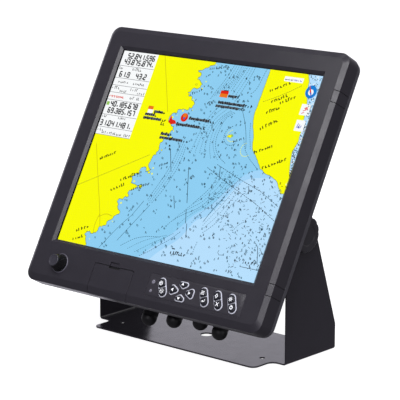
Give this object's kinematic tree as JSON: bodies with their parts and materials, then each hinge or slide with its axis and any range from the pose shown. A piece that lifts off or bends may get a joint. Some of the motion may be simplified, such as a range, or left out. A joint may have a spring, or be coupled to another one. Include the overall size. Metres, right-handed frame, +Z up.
{
  "type": "chartplotter display",
  "caption": "Marine chartplotter display: a flat chart screen in a sealed head with keys, a tuning knob and a card door, tilted between the arms of a U-shaped steel bracket.",
  "frame": {"origin": "centre of the four base bolt holes, on the underside of the bracket", "axes": "+X to the viewer's right along the display's width, +Y away from the viewer, +Z up"},
  "size_m": [0.4026, 0.2271, 0.3883],
  "materials": {
    "bracket_steel": "semi-gloss black powder coat",
    "clamp_plastic": "satin moulded black",
    "stud_steel": "plain stainless",
    "washer_fibre": "pressed fibre",
    "bezel_paint": "fine textured charcoal paint",
    "cover_paint": "textured dark grey paint on cast aluminium",
    "screen_glass": "anti-reflective, bonded",
    "picture": "lit chart picture",
    "seal_rubber": "soft black",
    "sheet_metal": "plated sheet",
    "insert_brass": "turned",
    "thermal_metal": "milled",
    "circuit_board": "green solder mask",
    "chip_plastic": "moulded black",
    "panel_plastic": "fine matt grey",
    "rim_plastic": "light translucent",
    "lamp_plastic": "clear window",
    "key_plastic": "soft-touch dark",
    "encoder_metal": "plain",
    "knob_plastic": "soft-touch black",
    "collar_metal": "satin",
    "bay_plastic": "moulded black"
  },
  "bodies": {
    "mount": {"bracket": "bracket_steel", "friction_washers": "washer_fibre"},
    "head": {"door_hinge_pin": "stud_steel", "cover_screws": "stud_steel", "housing_screws": "stud_steel", "internal_screws": "stud_steel", "encoder_nut": "stud_steel", "board_standoffs": "stud_steel", "front_bezel": "bezel_paint", "side_clips": "bezel_paint", "rear_cover": "cover_paint", "rear_housing": "cover_paint", "heat_sink": "cover_paint", "cover_glass": "screen_glass", "lcd_panel": "picture", "glass_gasket": "seal_rubber", "housing_seal": "seal_rubber", "door_seal": "seal_rubber", "keypad_membrane": "seal_rubber", "backlight_unit": "sheet_metal", "chassis_plate": "sheet_metal", "card_readers": "sheet_metal", "pivot_inserts": "insert_brass", "key_domes": "insert_brass", "thermal_block": "thermal_metal", "main_board": "circuit_board", "power_board": "circuit_board", "keypad_board": "circuit_board", "main_board_chips": "chip_plastic", "power_components": "chip_plastic", "key_panel": "panel_plastic", "key_rims": "rim_plastic", "status_led": "lamp_plastic", "light_sensor": "lamp_plastic", "encoder_body": "encoder_metal", "knob_collar": "collar_metal", "card_bay": "bay_plastic", "rear_connectors": "bay_plastic", "connector_caps": "bay_plastic"},
    "left_clamp": {"left_clamp_knob": "clamp_plastic", "left_clamp_stud": "stud_steel"},
    "right_clamp": {"right_clamp_knob": "clamp_plastic", "right_clamp_stud": "stud_steel"},
    "push_plunger": {"encoder_plunger": "encoder_metal"},
    "knob": {"tuning_knob": "knob_plastic", "knob_shaft": "stud_steel"},
    "door": {"card_door": "bezel_paint"},
    "zoom_in_key": {"zoom_in_key": "key_plastic"},
    "zoom_out_key": {"zoom_out_key": "key_plastic"},
    "cursor_up_key": {"cursor_up_key": "key_plastic"},
    "cursor_down_key": {"cursor_down_key": "key_plastic"},
    "cursor_left_key": {"cursor_left_key": "key_plastic"},
    "cursor_right_key": {"cursor_right_key": "key_plastic"},
    "menu_key": {"menu_key": "key_plastic"},
    "enter_key": {"enter_key": "key_plastic"},
    "mark_key": {"mark_key": "key_plastic"},
    "clear_key": {"clear_key": "key_plastic"},
    "bright_key": {"bright_key": "key_plastic"},
    "power_key": {"power_key": "key_plastic"}
  },
  "joints": [
    {"name": "head_tilt", "type": "hinge", "parent": "mount", "child": "head", "pos_m": [0, -0.0146, 0.165], "axis": [1, 0, 0], "range_deg": [-30, 32]},
    {"name": "left_clamp_turn", "type": "hinge", "parent": "mount", "child": "left_clamp", "pos_m": [-0.165, -0.0146, 0.165], "axis": [-1, 0, 0], "continuous": true},
    {"name": "right_clamp_turn", "type": "hinge", "parent": "mount", "child": "right_clamp", "pos_m": [0.165, -0.0146, 0.165], "axis": [1, 0, 0], "continuous": true},
    {"name": "knob_push", "type": "slide", "parent": "head", "child": "push_plunger", "axis": [0, 0.8755, -0.4833], "range_m": [0, 0.0007], "stiffness_N_per_m": 4000, "springref_m": -0.0003},
    {"name": "knob_turn", "type": "hinge", "parent": "push_plunger", "child": "knob", "pos_m": [-0.1446, -0.13404, 0.09844], "axis": [0, -0.8755, 0.4833], "continuous": true},
    {"name": "door_swing", "type": "hinge", "parent": "head", "child": "door", "pos_m": [-0.05165, -0.14069, 0.07149], "axis": [1, 0, 0], "range_deg": [0, 105]},
    {"name": "zoom_in_key_press", "type": "slide", "parent": "head", "child": "zoom_in_key", "axis": [0, 0.8755, -0.4833], "range_m": [0, 0.0008], "stiffness_N_per_m": 1500, "springref_m": -0.0003},
    {"name": "zoom_out_key_press", "type": "slide", "parent": "head", "child": "zoom_out_key", "axis": [0, 0.8755, -0.4833], "range_m": [0, 0.0008], "stiffness_N_per_m": 1500, "springref_m": -0.0003},
    {"name": "cursor_up_key_press", "type": "slide", "parent": "head", "child": "cursor_up_key", "axis": [0, 0.8755, -0.4833], "range_m": [0, 0.0008], "stiffness_N_per_m": 1500, "springref_m": -0.0003},
    {"name": "cursor_down_key_press", "type": "slide", "parent": "head", "child": "cursor_down_key", "axis": [0, 0.8755, -0.4833], "range_m": [0, 0.0008], "stiffness_N_per_m": 1500, "springref_m": -0.0003},
    {"name": "cursor_left_key_press", "type": "slide", "parent": "head", "child": "cursor_left_key", "axis": [0, 0.8755, -0.4833], "range_m": [0, 0.0008], "stiffness_N_per_m": 1500, "springref_m": -0.0003},
    {"name": "cursor_right_key_press", "type": "slide", "parent": "head", "child": "cursor_right_key", "axis": [0, 0.8755, -0.4833], "range_m": [0, 0.0008], "stiffness_N_per_m": 1500, "springref_m": -0.0003},
    {"name": "menu_key_press", "type": "slide", "parent": "head", "child": "menu_key", "axis": [0, 0.8755, -0.4833], "range_m": [0, 0.0008], "stiffness_N_per_m": 1500, "springref_m": -0.0003},
    {"name": "enter_key_press", "type": "slide", "parent": "head", "child": "enter_key", "axis": [0, 0.8755, -0.4833], "range_m": [0, 0.0008], "stiffness_N_per_m": 1500, "springref_m": -0.0003},
    {"name": "mark_key_press", "type": "slide", "parent": "head", "child": "mark_key", "axis": [0, 0.8755, -0.4833], "range_m": [0, 0.0008], "stiffness_N_per_m": 1500, "springref_m": -0.0003},
    {"name": "clear_key_press", "type": "slide", "parent": "head", "child": "clear_key", "axis": [0, 0.8755, -0.4833], "range_m": [0, 0.0008], "stiffness_N_per_m": 1500, "springref_m": -0.0003},
    {"name": "bright_key_press", "type": "slide", "parent": "head", "child": "bright_key", "axis": [0, 0.8755, -0.4833], "range_m": [0, 0.0008], "stiffness_N_per_m": 1500, "springref_m": -0.0003},
    {"name": "power_key_press", "type": "slide", "parent": "head", "child": "power_key", "axis": [0, 0.8755, -0.4833], "range_m": [0, 0.0008], "stiffness_N_per_m": 1500, "springref_m": -0.0003}
  ]
}
